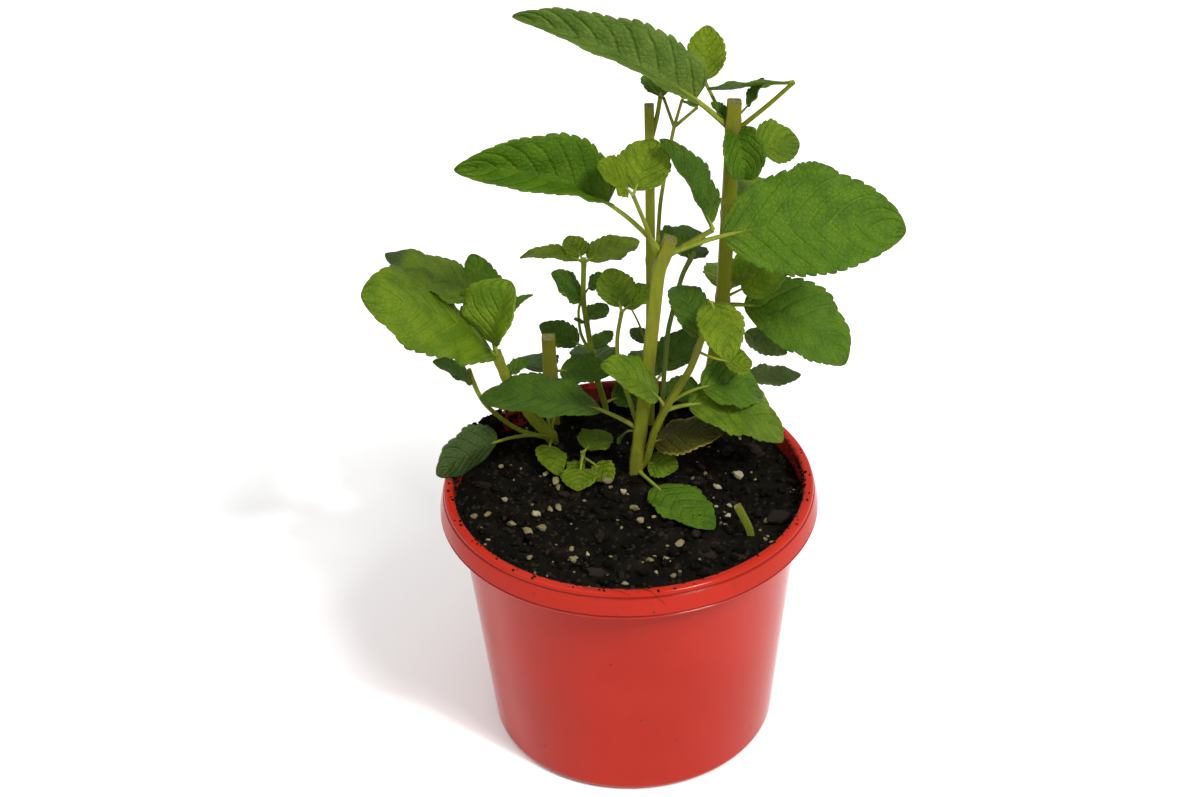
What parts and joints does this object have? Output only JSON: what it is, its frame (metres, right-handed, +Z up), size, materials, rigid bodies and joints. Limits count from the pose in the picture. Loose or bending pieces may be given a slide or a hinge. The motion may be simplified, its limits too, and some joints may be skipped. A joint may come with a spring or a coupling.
{
  "type": "potted mint plant",
  "caption": "Mint plant with square stems and broad toothed leaves, standing in potting mix in a round tapered plastic pot with a stepped rim.",
  "frame": {"origin": "centre of the pot's flat underside, on the surface it stands on", "axes": "+Z up through the pot and the plant, +X to the plant's right in the front view, +Y to its back"},
  "size_m": [0.1949, 0.1553, 0.2762],
  "materials": {
    "red_plastic": "smooth moulded plastic with a soft gloss",
    "potting_mix": "matt crumbly potting mix with pale grains",
    "mint_green": "satin quilted leaf",
    "young_green": "satin young leaf",
    "olive_stem": "dry olive stem with a pale cut end"
  },
  "bodies": {
    "root": {"pot": "red_plastic", "potting_mix": "potting_mix", "stem_front": "mint_green", "stem_middle": "mint_green", "stem_back_right": "mint_green", "stem_left": "young_green", "shoot_back_left": "young_green", "shoot_behind": "mint_green", "sprout_front_left": "young_green", "cut_stump": "olive_stem", "stem_stub": "olive_stem"}
  },
  "joints": []
}
